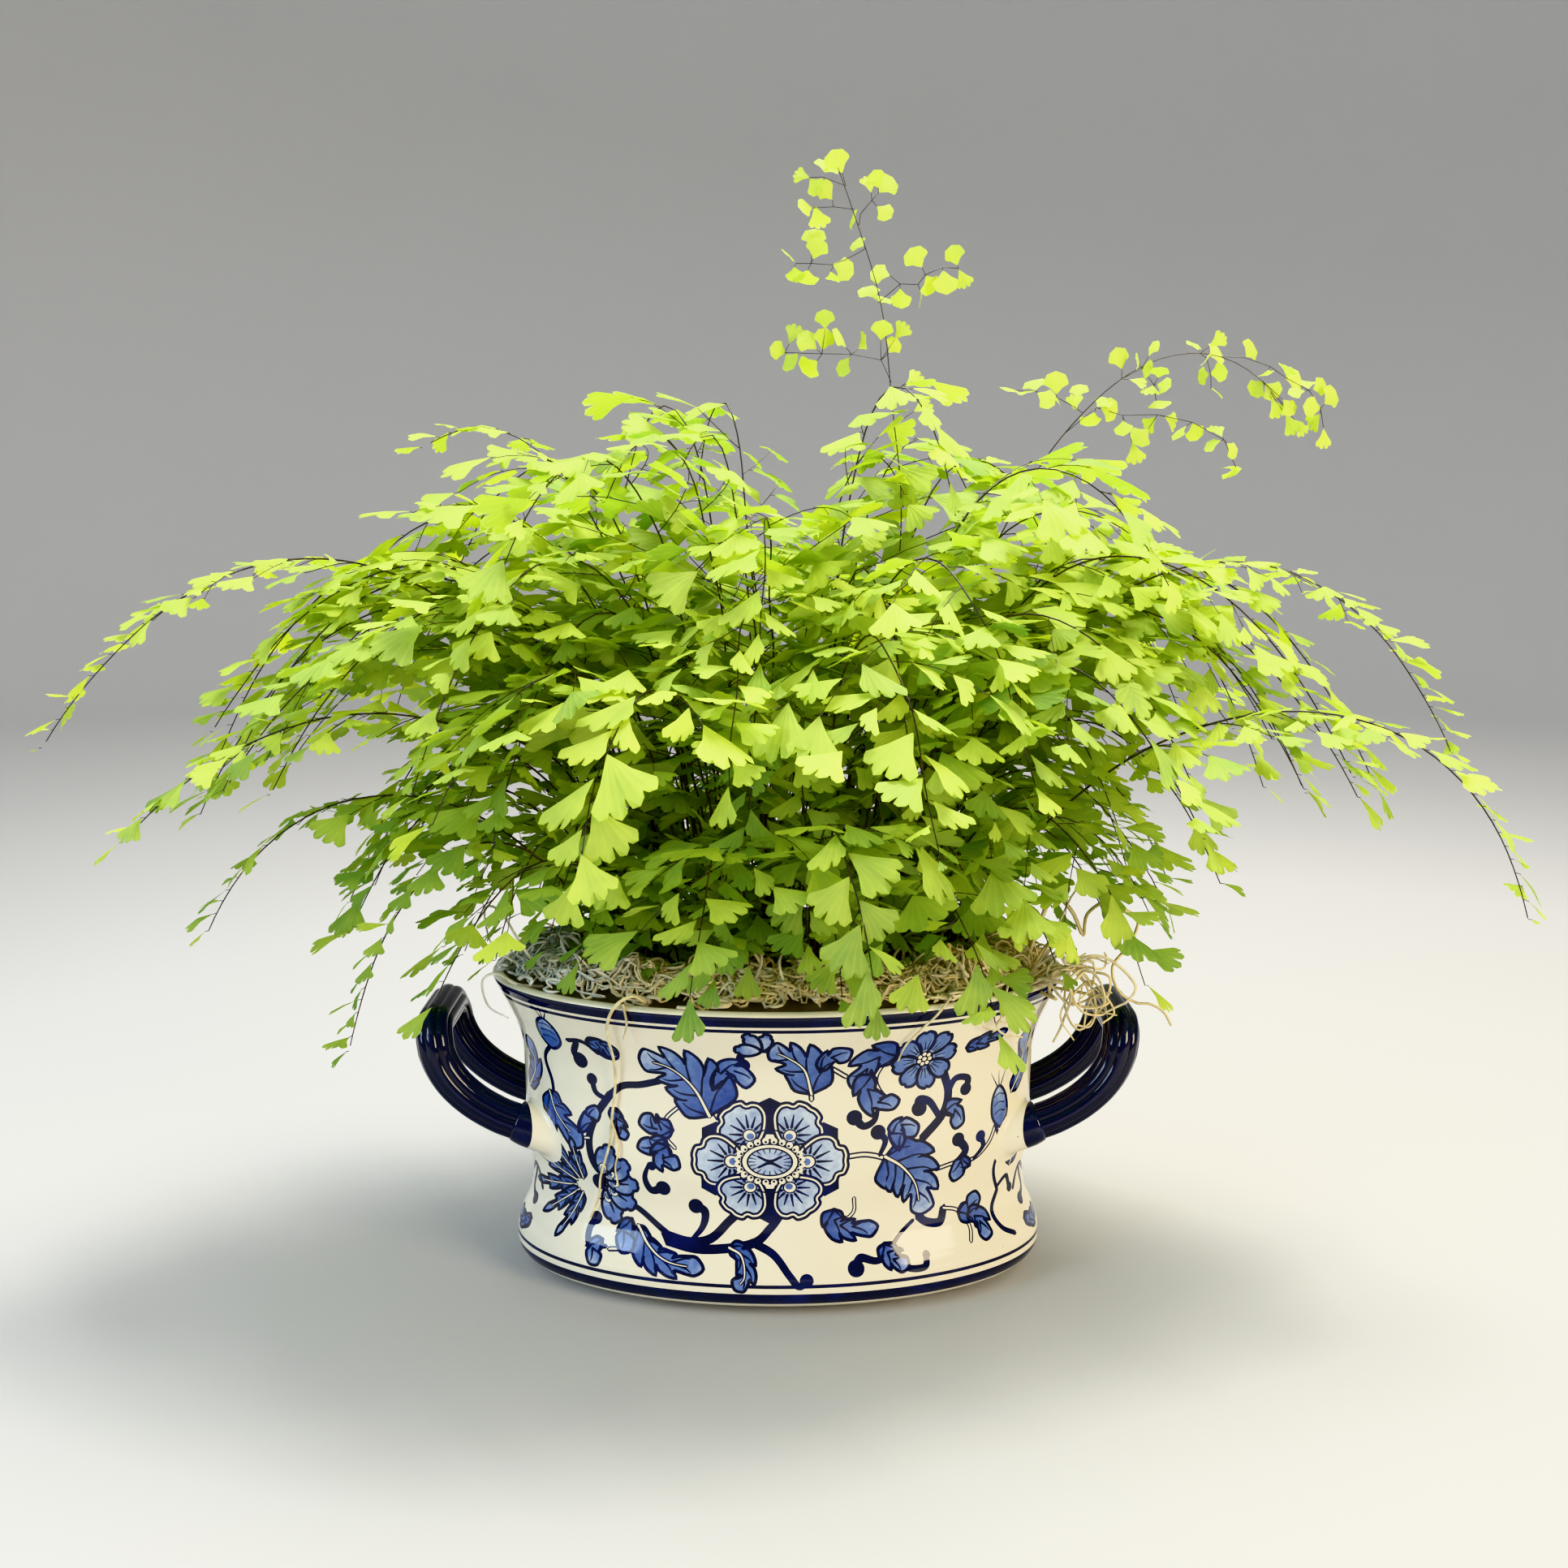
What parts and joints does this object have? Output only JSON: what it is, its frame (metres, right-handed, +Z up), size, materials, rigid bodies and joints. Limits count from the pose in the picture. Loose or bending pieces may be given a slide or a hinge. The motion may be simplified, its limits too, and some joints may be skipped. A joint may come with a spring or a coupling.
{
  "type": "potted maidenhair fern",
  "caption": "Maidenhair fern in an oval blue and white glazed planter with fluted dark handles, dried moss on the soil and round pads under the base.",
  "frame": {"origin": "on the standing surface, under the middle of the planter", "axes": "+Z up, -Y towards the viewer of the picture, +X to the viewer's right along the planter's long axis"},
  "size_m": [0.7827, 0.3987, 0.6118],
  "materials": {
    "white_glaze": "glossy cream-white glaze with a hand-painted cobalt scroll of flowers and leaves",
    "cobalt_glaze": "very glossy near-black cobalt glaze",
    "potting_soil": "dark crumbly mix of bark and peat",
    "dried_moss": "curly dry golden-tan strands",
    "pad_rubber": "matt white",
    "fern_green": "thin translucent yellow-green leaflets on black wiry stems"
  },
  "bodies": {
    "root": {"pot_body": "white_glaze", "handle_left": "cobalt_glaze", "handle_right": "cobalt_glaze", "soil": "potting_soil", "moss_mat": "dried_moss", "pad_front_left": "pad_rubber", "pad_front_right": "pad_rubber", "pad_back_left": "pad_rubber", "pad_back_right": "pad_rubber", "frond_01": "fern_green", "frond_02": "fern_green", "frond_03": "fern_green", "frond_04": "fern_green", "frond_05": "fern_green", "frond_06": "fern_green", "frond_07": "fern_green", "frond_08": "fern_green", "frond_09": "fern_green", "frond_10": "fern_green", "frond_11": "fern_green", "frond_12": "fern_green", "frond_13": "fern_green", "frond_14": "fern_green", "frond_15": "fern_green", "frond_16": "fern_green", "frond_17": "fern_green", "frond_18": "fern_green", "frond_19": "fern_green", "frond_20": "fern_green", "frond_21": "fern_green", "frond_22": "fern_green", "frond_23": "fern_green", "frond_24": "fern_green", "frond_25": "fern_green", "frond_26": "fern_green", "frond_27": "fern_green", "frond_28": "fern_green", "frond_29": "fern_green", "frond_30": "fern_green", "frond_31": "fern_green", "frond_32": "fern_green", "frond_33": "fern_green", "frond_34": "fern_green", "frond_35": "fern_green", "frond_tall": "fern_green", "frond_upper_right": "fern_green", "frond_upper_left": "fern_green", "frond_left_long": "fern_green", "frond_left_mid": "fern_green", "frond_left_low": "fern_green", "frond_left_hanging": "fern_green", "frond_right_long": "fern_green", "frond_right_low": "fern_green", "frond_front_rim": "fern_green", "frond_front_left": "fern_green"}
  },
  "joints": []
}
